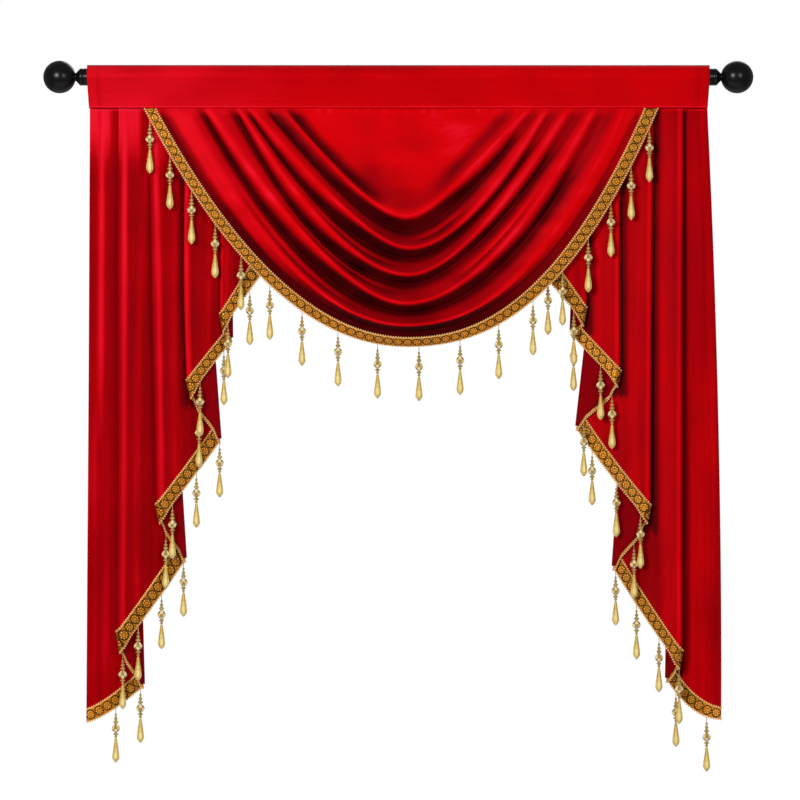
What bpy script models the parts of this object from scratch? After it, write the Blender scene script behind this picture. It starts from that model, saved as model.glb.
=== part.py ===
"""Velvet valance on its curtain rod.

A header band folded over the rod, a swag of five sagging folds in front, and two tails of
stacked knife pleats behind the swag's ends. Gold braid with beaded drops follows each hem.
Lengths are in millimetres, and each mesh is scaled to metres. The origin is on the rod's
axis at mid-length, X runs along the rod, -Y is the side that faces the room, Z is up.
A drop is how far a point lies below the rod's axis.
"""

import math
from collections import namedtuple

import bmesh
import bpy
import numpy as np
from mathutils.bvhtree import BVHTree
from mathutils import Vector

MM = 0.001
GAP = 0.3  # between pieces that touch
CLOTH = 2.0  # the velvet's thickness

# Rod and finials
ROD_RADIUS = 14.0
ROD_LENGTH = 1032.0
ROD_SIDES = 32
COLLAR = 5.5  # length of the finial's collar, as thick as the rod
NECK_RADIUS = 6.5
NECK_REACH = 12.5  # from the rod's end to the neck
BALL_RADIUS = 26.8
BALL_REACH = 39.5  # from the rod's end to the ball's centre
BALL_ARCS = 9
FINIAL_STEPS = 20

# Header band
HEADER_CLOTH = 3.0  # turned velvet, thicker than the single cloth
HEADER_TOP_HALF = 510.0
HEADER_HEM_HALF = 507.0
HEADER_DROP = 51.0
LIP_DEPTH = 6.3  # from the rod's plane to the middle of each bottom lip
LIP_DROP = 43.0
HEADER_ARCS = 14
HEADER_STATIONS = 9

# The seam, where the swag and the tails are sewn between the header's lips
SEAM_DROP = 51.3
SEAM_TUCK = 5.0  # how far the cloth runs up between the lips
SWAG_PLANE = -3.5
TAIL_PLANE = -1.2

# The swag. Each line runs from the seam at left, down to its lowest point and up to the seam at
# right. A shape of 1 has straight flanks and 2 is a round arc. The last two columns say how far
# the line stands forward of the seam, on the flanks and at the middle.
SwagLine = namedtuple("SwagLine", "left left_shape low_x low_drop right right_shape side mid")
SWAG_LINES = {
    "top edge": SwagLine(-184, 1.00, 13, SEAM_DROP, 207, 1.00, 0, 0),
    "ridge 1": SwagLine(-191, 1.26, 13, 229, 214, 1.08, 9, 15),
    "valley 1": SwagLine(-216, 1.36, 16, 254, 229, 1.32, 4, 8),
    "ridge 2": SwagLine(-243, 1.20, 20, 280, 242, 1.66, 13, 21),
    "valley 2": SwagLine(-252, 1.62, 18, 298, 259, 1.56, 4, 9),
    "ridge 3": SwagLine(-261, 1.60, 16, 324, 277, 1.50, 14, 23),
    "valley 3": SwagLine(-270, 2.06, 16, 339, 300, 1.48, 4, 10),
    "ridge 4": SwagLine(-313, 1.42, 13, 371, 320, 1.76, 16, 26),
    "valley 4": SwagLine(-325, 1.84, 15, 387, 340, 1.94, 5, 12),
    "ridge 5": SwagLine(-352, 1.98, 13, 407, 375, 2.30, 18, 29),
    "valley 5": SwagLine(-389, 1.96, 16, 418, 398, 2.14, 9, 19),
    "trim top": SwagLine(-399, 2.08, 18, 427, 405, 2.38, 11, 21),
    "hem": SwagLine(-416, 2.14, 16, 440, 425, 2.48, 12, 5),
}
SWAG_ROUND = 0.2  # share of the half width over which a line's lowest part is rounded
SWAG_MIDDLE = 0.55  # share of the half width over which the folds stand further forward
SWAG_SWELL = 0.35  # how soon a fold reaches its height from the seam, sooner when smaller
SWAG_COLUMNS = 40
SWAG_ARCH = 0.72  # a fold stands this share of its height half way to its ridge
PANEL_ROWS = ((0.30, 0.15), (0.55, 0.45), (0.80, 0.80))  # share of the way down, share of the rise
SWAG_TRIM_END = 0.99  # the trim stops this share of the half width from the middle

# The tails. Each row is a fold of the cloth, from the edge behind the swag to the outer edge.
# The cloth runs outwards in front from a rear fold to a front fold, and back behind it to the
# next rear fold. back is how deep a fold lies at the hem, as a share of the pleats' depth there,
# and trim the upright height that the slanting braid takes up. curve is the shape of the hem on
# the way to the fold: above 1 it falls first and then runs level.
TailFold = namedtuple("TailFold", "x_seam x_hem drop back trim curve", defaults=(1.0,))
LEFT_TAIL = {
    "inner edge": TailFold(-207, -207, 292, 0.2, 28),
    "front 1": TailFold(-289, -292, 417, 0.0, 27),
    "rear 1": TailFold(-276, -272, 433, 0.75, 26),
    "front 2": TailFold(-345, -345, 526, -0.1, 33),
    "rear 2": TailFold(-331, -291, 599, 1.0, 34),
    "front 3": TailFold(-409, -396, 731, 0.0, 35),
    "rear 3": TailFold(-395, -348, 795, 1.0, 39),
    "front 4": TailFold(-458, -461, 943, 0.0, 39),
    "rear 4": TailFold(-444, -417, 1002, 1.0, 28),
    "outer edge": TailFold(-506, -512, 1058, 0.6, 21, 1.35),
}
RIGHT_TAIL = {
    "inner edge": TailFold(216, 216, 284, 0.2, 28),
    "front 1": TailFold(308, 308, 407, 0.0, 27),
    "rear 1": TailFold(295, 282, 422, 0.8, 26),
    "front 2": TailFold(363, 364, 507, -0.1, 29),
    "rear 2": TailFold(350, 291, 578, 1.0, 31),
    "front 3": TailFold(418, 413, 731, 0.0, 33),
    "rear 3": TailFold(405, 351, 808, 1.0, 33),
    "front 4": TailFold(467, 465, 969, 0.0, 33),
    "rear 4": TailFold(454, 439, 992, 1.0, 33),
    "outer edge": TailFold(507, 530, 1053, 0.6, 18, 2.1),
}
TAIL_LENGTH = 1058.0
PLEAT_DEPTH_SEAM = 4.7
PLEAT_DEPTH_HEM = 34.0
FOLD_RADIUS_SEAM = 1.18
FOLD_RADIUS_HEM = 5.4
PLEAT_GROWTH = 0.6  # the pleats open quickly below the seam and then slowly
TAIL_SWAY = 12.0  # how far the tails' lower ends come forward
SWAY_FROM = 440.0
RIGHT_EDGE_BOW = 7.0  # the right tail's outer edge stands out at half height
FRONT_COLUMNS = 3  # between two folds
BACK_COLUMNS = 1
TAIL_ROWS = 12  # down to the trim
ROW_SPREAD = 1.4  # above 1, the rows lie closer together below the seam

# Trim: braid sewn on the cloth's front, with drops that hang from its lower edge
BRAID = 1.5
SEWN_GAP = 0.4
Drops = namedtuple("Drops", "first pitch count")  # the first is measured from the braid's end
SWAG_DROPS = Drops(10.0, 67.9, 18)
LEFT_DROPS = Drops(69.8, 68.4, 15)
RIGHT_DROPS = Drops(57.3, 68.9, 16)
BEAD_CLEARANCE = 3.4  # between a drop and the cloth behind it, which may have its own braid
AHEAD = 100.0  # a place well in front of the whole valance
THREAD_RADIUS = 0.7
SEWN_UP = 4.0  # how far the thread runs up inside the braid
# Distance below the braid's edge and radius, down one drop below its thread
Ring = namedtuple("Ring", "below radius")
DROP_RINGS = (
    Ring(13.0, 0.9),
    Ring(27.0, 2.6),
    Ring(34.4, 7.0),
    Ring(43.5, 3.0),
    Ring(53.0, 2.4),
    Ring(79.0, 6.8),
    Ring(91.0, 1.0),
)
DROP_SIDES = 4

COLOURS = {
    "velvet": ((0.52, 0.003, 0.018, 1.0), 0.55, 0.0),
    "gold trim": ((0.62, 0.38, 0.10, 1.0), 0.45, 0.4),
    "black metal": ((0.012, 0.012, 0.013, 1.0), 0.35, 0.8),
}


def clear_scene():
    for obj in list(bpy.data.objects):
        bpy.data.objects.remove(obj)


def new_collection(name):
    collection = bpy.data.collections.new(name)
    bpy.context.scene.collection.children.link(collection)
    return collection


def material(obj_name, finish):
    """A material of its own for each piece, in one of the three finishes."""
    colour, roughness, metallic = COLOURS[finish]
    made = bpy.data.materials.new(f"{obj_name} {finish}")
    made.use_nodes = True
    shader = made.node_tree.nodes["Principled BSDF"]
    shader.inputs["Base Color"].default_value = colour
    shader.inputs["Roughness"].default_value = roughness
    shader.inputs["Metallic"].default_value = metallic
    made.diffuse_color = colour
    return made


def add_object(name, bm, finish, collection):
    """An object from a bmesh that is drawn in millimetres."""
    bmesh.ops.scale(bm, vec=(MM, MM, MM), verts=bm.verts)
    mesh = bpy.data.meshes.new(name)
    bm.to_mesh(mesh)
    bm.free()
    mesh.materials.append(material(name, finish))
    obj = bpy.data.objects.new(name, mesh)
    collection.objects.link(obj)
    return obj


def thicken(obj, thickness):
    """Gives an open sheet its thickness, half on each side of the surface drawn."""
    wall = obj.modifiers.new("thickness", "SOLIDIFY")
    wall.thickness = thickness * MM
    wall.offset = 0.0
    wall.use_rim = True


def sheet(name, columns, rows, place, finish, collection):
    """A grid whose vertex in column i and row j lies at place(i, j). Columns run towards -X and
    rows run down, so that its faces look into the room. Every cell is split along the same
    diagonal, so that a strip set off from a sheet stays parallel to it."""
    bm = bmesh.new()
    bmesh.ops.create_grid(bm, x_segments=columns - 1, y_segments=rows - 1, size=0.5)
    for vert in bm.verts:
        i = round((vert.co.x + 0.5) * (columns - 1))
        j = round((vert.co.y + 0.5) * (rows - 1))
        vert.co = place(i, j)
    bmesh.ops.triangulate(bm, faces=bm.faces, quad_method="FIXED")
    return add_object(name, bm, finish, collection)


def blend(a, b, share):
    return a + (b - a) * share


def smooth(share):
    share = min(max(share, 0.0), 1.0)
    return share * share * (3 - 2 * share)


# Swag


def sag(t, shape):
    """0 at a line's lowest point and 1 at the seam, for t from 0 to 1."""
    def power(value):
        return (value * value + SWAG_ROUND**2) ** (shape / 2)
    return (power(t) - power(0)) / (power(1) - power(0))


def swag_point(line, t):
    """The point of a swag line at t, from -1 at its left end to 1 at its right end."""
    end, shape = (line.left, line.left_shape) if t < 0 else (line.right, line.right_shape)
    swell = max(0.0, 1 - t * t) ** SWAG_SWELL
    middle = max(0.0, 1 - (t / SWAG_MIDDLE) ** 2) ** 2
    forward = blend(line.side, line.mid, middle) * swell
    drop = blend(line.low_drop, SEAM_DROP, sag(abs(t), shape))
    return np.array((blend(line.low_x, end, abs(t)), SWAG_PLANE - forward, -drop))


def swag_rows():
    """Rows across the folds, each as (upper line, lower line, share of the way down, share of the
    rise): each line itself, rows down the flat panel, and a row on each side of every ridge."""
    names = list(SWAG_LINES)
    rows = []
    for upper, lower in zip(names, names[1:]):
        rows.append((upper, upper, 0.0, 0.0))
        if upper == "top edge":
            rows += [(upper, lower, down, rise) for down, rise in PANEL_ROWS]
        elif upper.startswith("ridge"):
            rows.append((upper, lower, 0.5, 1 - SWAG_ARCH))
        elif lower.startswith("ridge"):
            rows.append((upper, lower, 0.5, SWAG_ARCH))
    rows.append((names[-1], names[-1], 0.0, 0.0))
    return rows


def swag_columns():
    """Places along a line, closer together towards the seam, from right to left."""
    inner = []
    for k in range(SWAG_COLUMNS + 1):
        u = 1 - 2 * k / SWAG_COLUMNS
        inner.append(0.5 * u + 0.5 * math.sin(math.pi * u / 2))
    return [1.0, SWAG_TRIM_END] + inner[1:-1] + [-SWAG_TRIM_END, -1.0]


def tuck_into_seam(obj):
    """Runs the sheet's top edge straight up between the header's lips."""
    bm = bmesh.new()
    bm.from_mesh(obj.data)
    level = -(SEAM_DROP - 0.1) * MM
    top = [e for e in bm.edges if e.is_boundary and all(v.co.z > level for v in e.verts)]
    made = bmesh.ops.extrude_edge_only(bm, edges=top)["geom"]
    verts = [v for v in made if isinstance(v, bmesh.types.BMVert)]
    bmesh.ops.translate(bm, vec=(0, 0, SEAM_TUCK * MM), verts=verts)
    bm.to_mesh(obj.data)
    bm.free()


def build_swag(collection):
    rows, columns = swag_rows(), swag_columns()

    def place(i, j):
        upper, lower, down, rise = rows[j]
        a, b = swag_point(SWAG_LINES[upper], columns[i]), swag_point(SWAG_LINES[lower], columns[i])
        return blend(a, b, np.array((down, rise, down)))

    swag = sheet("swag", len(columns), len(rows), place, "velvet", collection)
    tuck_into_seam(swag)
    thicken(swag, CLOTH)
    return swag


# Tails


def pleat_growth(drop):
    return max(0.0, (drop - SEAM_DROP) / (TAIL_LENGTH - SEAM_DROP)) ** PLEAT_GROWTH


def tail_stations(folds):
    """The cloth's way in and out of each fold and its tip, as (fold, depth at the seam, outwards,
    backwards). The last two are in fold radii, and outwards is away from the valance's middle."""
    stations = []
    for name, fold in folds.items():
        if name.startswith("front"):
            stations.append([(fold, 0.0, -1, 0), (fold, 0.0, 0, 1), (fold, 0.0, -1, 2)])
        elif name.startswith("rear"):
            stations.append([(fold, 1.0, 1, -2), (fold, 1.0, 0, -1), (fold, 1.0, 1, 0)])
        else:
            stations.append([(fold, fold.back, 0, 0)])
    return stations


def tail_columns(folds):
    """Columns from the inner edge to the outer edge, as (station, next station, share)."""
    groups = tail_stations(folds)
    columns = [(groups[0][0], groups[0][0], 0.0)]
    for k, (group, following) in enumerate(zip(groups, groups[1:])):
        between = BACK_COLUMNS if k % 2 else FRONT_COLUMNS
        for n in range(1, between + 1):
            columns.append((group[-1], following[0], n / (between + 1)))
        columns += [(station, station, 0.0) for station in following]
    return columns


def station_point(station, drop, hand):
    fold, at_seam, outwards, backwards = station
    down = (drop - SEAM_DROP) / (fold.drop - SEAM_DROP)
    grown = pleat_growth(drop)
    radius = blend(FOLD_RADIUS_SEAM, FOLD_RADIUS_HEM, grown)
    depth = blend(PLEAT_DEPTH_SEAM, PLEAT_DEPTH_HEM, grown)
    reach = blend(at_seam, fold.back, down)
    sway = TAIL_SWAY * smooth((drop - SWAY_FROM) / (TAIL_LENGTH - SWAY_FROM))
    x = blend(fold.x_seam, fold.x_hem, down) + hand * outwards * radius
    if fold is RIGHT_TAIL["outer edge"]:
        x += RIGHT_EDGE_BOW * 4 * down * (1 - down)
    return np.array((x, TAIL_PLANE + depth * reach + backwards * radius - sway, -drop))


def tail_point(column, drop, hand):
    first, second, share = column
    return blend(station_point(first, drop, hand), station_point(second, drop, hand), share)


def column_value(column, field):
    """A fold's hem drop or trim height, or what lies between the two folds' values."""
    first, second, share = column
    if field == "drop":
        share = 1 - (1 - share) ** second[0].curve
    return blend(getattr(first[0], field), getattr(second[0], field), share)


def build_tail(name, folds, hand, collection):
    columns = tail_columns(folds)[::-hand]

    def place(i, j):
        hem = column_value(columns[i], "drop")
        trim_top = hem - column_value(columns[i], "trim")
        down = (j / TAIL_ROWS) ** ROW_SPREAD
        drop = hem if j > TAIL_ROWS else blend(SEAM_DROP, trim_top, down)
        return tail_point(columns[i], drop, hand)

    tail = sheet(name, len(columns), TAIL_ROWS + 2, place, "velvet", collection)
    tuck_into_seam(tail)
    thicken(tail, CLOTH)
    return tail


# Trim


def along(points, distance):
    """The segment of a polyline at a distance along it, and the share of that segment."""
    for k, (a, b) in enumerate(zip(points, points[1:])):
        length = float(np.linalg.norm(b - a))
        if distance <= length:
            return k, distance / length
        distance -= length
    return len(points) - 2, 1.0


def set_off(upper, lower, distance):
    """Both edges of a strip of cloth, moved off it towards the room."""
    steps = np.diff((upper + lower) / 2, axis=0)
    steps /= np.linalg.norm(steps, axis=1, keepdims=True)
    along_hem = np.vstack((steps[:1], steps[:-1] + steps[1:], steps[-1:]))
    normal = np.cross(along_hem, lower - upper)
    normal *= distance / np.linalg.norm(normal, axis=1, keepdims=True)
    return upper + normal, lower + normal


def hung_depth(cloths, edge):
    """Where a drop from this point of the braid's edge hangs: straight below it, or in front of
    the cloth that would be in its way."""
    reach = max(ring.radius for ring in DROP_RINGS)
    nearest = math.inf
    for cloth in cloths:
        for across in (-reach, 0.0, reach):
            for ring in DROP_RINGS[1:]:
                start = Vector((edge[0] + across, -AHEAD, edge[2] - ring.below)) * MM
                hit = cloth.ray_cast(start, Vector((0, 1, 0)))[0]
                if hit:
                    nearest = min(nearest, hit.y / MM)
    return min(edge[1], nearest - reach - BEAD_CLEARANCE)


def add_drop(bm, root, edge, hung):
    """One beaded drop, from its thread's root inside the braid over the braid's edge."""
    rings = [(root, THREAD_RADIUS), (edge, THREAD_RADIUS)]
    rings += [((edge[0], hung, edge[2] - ring.below), ring.radius) for ring in DROP_RINGS]
    loops = []
    for centre, radius in rings:
        verts = bmesh.ops.create_circle(bm, segments=DROP_SIDES, radius=radius)["verts"]
        bmesh.ops.translate(bm, vec=centre, verts=verts)
        loops.append(list({edge for vert in verts for edge in vert.link_edges}))
    for end in (loops[0], loops[-1]):
        bmesh.ops.contextual_create(bm, geom=end)
    for upper, lower in zip(loops, loops[1:]):
        bmesh.ops.bridge_loops(bm, edges=upper + lower)


def build_drops(name, upper, hem, drops, cloths, collection):
    """All drops of a length of trim in one hidden mesh, for the union with its braid."""
    up = upper - hem
    sewn = hem + up * SEWN_UP / np.linalg.norm(up, axis=1, keepdims=True)
    bm = bmesh.new()
    for n in range(drops.count):
        k, share = along(hem, drops.first + n * drops.pitch)
        edge = blend(hem[k], hem[k + 1], share)
        add_drop(bm, blend(sewn[k], sewn[k + 1], share), edge, hung_depth(cloths, edge))
    bmesh.ops.recalc_face_normals(bm, faces=bm.faces)
    strands = add_object(name, bm, "gold trim", collection)
    strands.hide_render = True
    strands.display_type = "WIRE"
    return strands


def build_trim(name, upper, lower, from_end, drops, cloths, parts, helpers):
    """Braid over a strip of cloth between an upper and a lower edge, with its drops fused to it.
    from_end is 1 where the drops are counted from the first column and -1 from the last."""
    edges = set_off(np.array(upper), np.array(lower), CLOTH / 2 + SEWN_GAP + BRAID / 2)
    trim = sheet(name, len(upper), 2, lambda i, j: edges[j][i], "gold trim", parts)
    thicken(trim, BRAID)
    top, hem = edges[0][::from_end], edges[1][::from_end]
    union = trim.modifiers.new("drops", "BOOLEAN")
    union.operation = "UNION"
    union.solver = "EXACT"
    union.object = build_drops(f"{name}_drops", top, hem, drops, cloths, helpers)
    return trim


def build_swag_trim(cloths, parts, helpers):
    columns = swag_columns()[1:-1]
    upper = [swag_point(SWAG_LINES["trim top"], t) for t in columns]
    lower = [swag_point(SWAG_LINES["hem"], t) for t in columns]
    build_trim("swag_trim", upper, lower, -1, SWAG_DROPS, cloths, parts, helpers)


def build_tail_trim(name, folds, hand, drops, cloths, parts, helpers):
    upper, lower = [], []
    for column in tail_columns(folds)[::-hand]:
        hem = column_value(column, "drop")
        upper.append(tail_point(column, hem - column_value(column, "trim"), hand))
        lower.append(tail_point(column, hem, hand))
    build_trim(name, upper, lower, -hand, drops, cloths, parts, helpers)


def surface_of(obj):
    """The sheet with its thickness, for measuring what hangs in front of it."""
    return BVHTree.FromObject(obj, bpy.context.evaluated_depsgraph_get())


# Header, rod and finials


def header_section():
    """Points of the band's middle across the rod, from the front lip over the rod to the back."""
    clear = ROD_RADIUS + GAP + HEADER_CLOTH / 2
    slope = math.asin(clear / math.hypot(LIP_DEPTH, LIP_DROP)) - math.atan2(LIP_DEPTH, LIP_DROP)
    start, end = math.pi + slope, -slope
    radius = clear / math.cos((start - end) / (2 * HEADER_ARCS))
    points = [(-LIP_DEPTH, -HEADER_DROP), (-LIP_DEPTH, -LIP_DROP)]
    for k in range(HEADER_ARCS + 1):
        angle = blend(start, end, k / HEADER_ARCS)
        points.append((radius * math.cos(angle), radius * math.sin(angle)))
    points += [(LIP_DEPTH, -LIP_DROP), (LIP_DEPTH, -HEADER_DROP)]
    return points


def build_header(collection):
    section = header_section()

    def place(i, j):
        y, z = section[j]
        low = min(max(-z / HEADER_DROP, 0.0), 1.0)
        half = blend(HEADER_TOP_HALF, HEADER_HEM_HALF, low)
        return np.array((blend(-half, half, i / (HEADER_STATIONS - 1)), y, z))

    header = sheet("header", HEADER_STATIONS, len(section), place, "velvet", collection)
    thicken(header, HEADER_CLOTH)
    return header


def build_rod(collection):
    bm = bmesh.new()
    bmesh.ops.create_cone(
        bm, cap_ends=True, segments=ROD_SIDES, depth=ROD_LENGTH,
        radius1=ROD_RADIUS, radius2=ROD_RADIUS,
    )
    rod = add_object("rod", bm, "black metal", collection)
    rod.rotation_euler.y = math.pi / 2
    return rod


def finial_profile():
    """(radius, distance from the rod's end) from the ball's far pole back to the collar's face."""
    joint = math.asin(NECK_RADIUS / BALL_RADIUS)
    points = []
    for k in range(BALL_ARCS + 1):
        angle = blend(0.0, math.pi - joint, k / BALL_ARCS)
        points.append((BALL_RADIUS * math.sin(angle), BALL_REACH + BALL_RADIUS * math.cos(angle)))
    points += [(NECK_RADIUS, NECK_REACH), (ROD_RADIUS, COLLAR), (ROD_RADIUS, GAP), (0.0, GAP)]
    return points


def build_finial(name, hand, collection):
    bm = bmesh.new()
    verts = [bm.verts.new((radius, 0.0, out)) for radius, out in finial_profile()]
    for a, b in zip(verts, verts[1:]):
        bm.edges.new((a, b))
    finial = add_object(name, bm, "black metal", collection)
    turn = finial.modifiers.new("turned", "SCREW")
    turn.axis = "Z"
    turn.steps = FINIAL_STEPS
    turn.render_steps = FINIAL_STEPS
    turn.use_merge_vertices = True
    turn.merge_threshold = 0.00005
    finial.rotation_euler.y = hand * math.pi / 2
    finial.location.x = hand * ROD_LENGTH / 2 * MM
    return finial


def main():
    clear_scene()
    parts = new_collection("velvet valance and curtain rod")
    helpers = new_collection("joined shapes")
    helpers.hide_render = True

    build_rod(parts)
    build_finial("left_finial", -1, parts)
    build_finial("right_finial", 1, parts)
    build_header(parts)
    build_swag(parts)
    left = build_tail("left_tail", LEFT_TAIL, -1, parts)
    right = build_tail("right_tail", RIGHT_TAIL, 1, parts)
    bpy.context.view_layer.update()

    left_cloth, right_cloth = surface_of(left), surface_of(right)
    build_swag_trim([left_cloth, right_cloth], parts, helpers)
    build_tail_trim("left_tail_trim", LEFT_TAIL, -1, LEFT_DROPS, [left_cloth], parts, helpers)
    build_tail_trim("right_tail_trim", RIGHT_TAIL, 1, RIGHT_DROPS, [right_cloth], parts, helpers)


main()
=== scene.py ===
# Velvet valance on its curtain rod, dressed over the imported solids.
# Shapes are drawn in millimetres. A drop is how far a point lies below the rod's axis.
import math
from collections import namedtuple

import bmesh
import bpy
import numpy as np
from mathutils import Matrix, Vector, noise
from mathutils.bvhtree import BVHTree


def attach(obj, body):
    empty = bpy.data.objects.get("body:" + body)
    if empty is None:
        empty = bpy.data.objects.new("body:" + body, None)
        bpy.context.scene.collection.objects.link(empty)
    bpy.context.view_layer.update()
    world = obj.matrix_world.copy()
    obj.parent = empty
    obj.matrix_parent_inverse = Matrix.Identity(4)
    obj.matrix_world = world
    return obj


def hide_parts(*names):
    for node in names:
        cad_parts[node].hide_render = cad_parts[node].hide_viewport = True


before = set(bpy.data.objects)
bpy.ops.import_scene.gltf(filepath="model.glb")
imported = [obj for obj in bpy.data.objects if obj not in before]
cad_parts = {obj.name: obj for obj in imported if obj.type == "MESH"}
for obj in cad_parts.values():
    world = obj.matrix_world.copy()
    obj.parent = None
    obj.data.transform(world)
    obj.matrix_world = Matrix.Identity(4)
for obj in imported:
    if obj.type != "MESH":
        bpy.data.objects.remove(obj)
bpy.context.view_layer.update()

mm = 0.001

cloth = {
    "thickness": 2.0,
    "seamDrop": 51.3,
    "seamTuck": 5.0,  # how far a panel runs up between the header's lips
}


def blend(a, b, share):
    return a + (b - a) * share


def smooth(share):
    share = min(max(share, 0.0), 1.0)
    return share * share * (3 - 2 * share)


def rising(value, start, over):  # from 0 at the start to 1 so much further on
    return smooth((value - start) / over)


def falling(value, start, over):
    return 1 - rising(value, start, over)


def grown(value, amount, start, over):  # an amount that comes in over that stretch
    return amount * rising(value, start, over)


def hump(share, centre, width):  # 1 at the centre, 0 beyond the width on either side
    return 1 - smooth(abs(share - centre) / width)


def softNoise(x, z, seed):
    return noise.noise(Vector((x, z, seed)))


# Shader nodes


class Wire:
    # a value inside a material, so that its maths can be written as Python
    def __init__(self, surface, socket):
        self.surface, self.socket = surface, socket

    def maths(self, operation, *others):
        sockets = dict(enumerate((self, *others)))
        return self.surface.node("Math", {"operation": operation}, sockets)

    def __add__(self, other):
        return self.maths("ADD", other)

    def __mul__(self, other):
        return self.maths("MULTIPLY", other)

    def __sub__(self, other):
        return self.maths("SUBTRACT", other)

    def __rsub__(self, other):
        return self.surface.node("Math", {"operation": "SUBTRACT"}, {0: other, 1: self})

    def __truediv__(self, other):
        return self.maths("DIVIDE", other)


    __radd__ = __add__
    __rmul__ = __mul__


class Surface:
    # one material
    def __init__(self, name):
        self.material = bpy.data.materials.new(name)
        self.material.use_nodes = True
        self.tree = self.material.node_tree
        self.tree.nodes.clear()

    def node(self, kind, settings, sockets, output=0):
        made = self.tree.nodes.new("ShaderNode" + kind)
        for key, value in settings.items():
            if key == "stops":
                setStops(made.color_ramp, value)
            else:
                setattr(made, key, value)
        for key, value in sockets.items():
            if isinstance(value, Wire):
                self.tree.links.new(value.socket, made.inputs[key])
            else:
                made.inputs[key].default_value = value
        return Wire(self, made.outputs[output]) if made.outputs else made

    def mixColour(self, share, a, b, how="MIX"):
        settings = {"data_type": "RGBA", "blend_type": how, "clamp_factor": True}
        return self.node("Mix", settings, {0: share, 6: a, 7: b}, 2)

    def ramp(self, value, stops):
        return self.node("ValToRGB", {"stops": stops}, {"Fac": value})

    def noise(self, place, scale, detail):
        return self.node("TexNoise", {}, {"Vector": place, "Scale": scale, "Detail": detail})

    def objectPlace(self):
        return self.node("TexCoord", {}, {}, "Object")

    def scaled(self, place, scale):
        return self.node("Mapping", {}, {"Vector": place, "Scale": scale})

    def close(self, sockets, normal=None):
        if normal is not None:
            sockets = {**sockets, "Normal": normal}
        shader = self.node("BsdfPrincipled", {}, sockets)
        self.node("OutputMaterial", {}, {"Surface": shader})
        return self.material


def setStops(ramp, stops):
    ramp.elements[0].position, ramp.elements[0].color = stops[0][0], (*stops[0][1], 1)
    ramp.elements[1].position, ramp.elements[1].color = stops[-1][0], (*stops[-1][1], 1)
    for position, colour in stops[1:-1]:
        ramp.elements.new(position).color = (*colour, 1)


# Finishes

velvetLook = {
    "pile": [  # from the painted shade at the bottom of a fold to the painted highlight on its crest
        (0.0, (0.008, 0.0000, 0.0003)),
        (0.25, (0.100, 0.0001, 0.0012)),
        (0.55, (0.340, 0.0001, 0.0020)),
        (0.80, (0.600, 0.0003, 0.0020)),
        (1.0, (0.860, 0.0100, 0.0340)),
    ],
    "roughness": 0.42,
    "grain": 1500.0,
    "streak": 0.12,
    "streakScale": (14.0, 160.0, 1.0),
    "cloud": 0.14,
    "cloudScale": 9.0,
    "sheen": (0.86, 0.014, 0.048, 1),  # painted sheen: a cooler red on the painted highlights at the left
    "sheenFromLight": 0.55,  # above this level of painted light it starts
    "sheenStart": 0.5,
    "sheenSlope": 3.3,  # how fast it grows towards the left
}


def velvetFinish():
    s = Surface("red velvet")
    # painted highlight and shade, set on each vertex
    crest = s.node("Attribute", {"attribute_name": "crest"}, {}, "Fac")
    along = s.node("UVMap", {"uv_map": "cloth"}, {})
    place = s.objectPlace()
    streaks = s.noise(s.scaled(along, velvetLook["streakScale"]), 1.0, 4.0)
    clouds = s.noise(place, velvetLook["cloudScale"], 2.0)
    # painted light with random streaks and clouds of tone
    lightAndTone = crest + (streaks - 0.5) * velvetLook["streak"] + (clouds - 0.5) * velvetLook["cloud"]
    # painted sheen, growing towards the left
    x = s.node("SeparateXYZ", {}, {"Vector": place}, "X")
    left = x * -velvetLook["sheenSlope"] - velvetLook["sheenStart"]
    paintedSheen = (lightAndTone - velvetLook["sheenFromLight"]) * left.maths("MAXIMUM", 0.0).maths("MINIMUM", 1.0)
    colour = s.mixColour(paintedSheen, s.ramp(lightAndTone, velvetLook["pile"]), velvetLook["sheen"])
    pile = s.noise(place, velvetLook["grain"], 2.0)
    bump = s.node("Bump", {}, {"Strength": 0.10, "Distance": 0.0004, "Height": pile})
    return s.close({
        "Base Color": colour,
        "Roughness": velvetLook["roughness"] + (pile - 0.5) * 0.2,
        "Specular IOR Level": 0.35,
        "Specular Tint": (1.0, 0.02, 0.03, 1.0),
    }, bump)


def grainFinish(name, grain, deep, pale, sockets, bump=None):
    # two tones mixed by a noise of (scale, detail), with a bump of (strength, distance) where there is one
    s = Surface(name)
    tone = s.noise(s.objectPlace(), *grain)
    colour = s.mixColour(tone, (*deep, 1), (*pale, 1))
    if bump:
        bump = s.node("Bump", {}, {"Strength": bump[0], "Distance": bump[1], "Height": tone})
    return s.close({"Base Color": colour, **sockets}, bump)


braidLook = {
    "pitch": 16.4,  # between two rosettes
    "radius": 7.8,  # of a rosette
    "petals": 8,
    "width": 22.0,
    "long": 1.06,  # above 1 a rosette is shorter along the braid
    "high": 0.94,  # below 1 it is broader across it
    "ring": 0.66,  # where a rosette's petals part, as a share of its radius
    "borderFrom": 8.2,  # from the braid's middle
    "edgeFrom": 9.2,
    "threads": (420.0, 560.0, 1.0),
    "levelPaintedLight": (1.55, 1.50, 1.55, 1),  # painted light: how much paler its threads are painted where it hangs level
}


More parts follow.
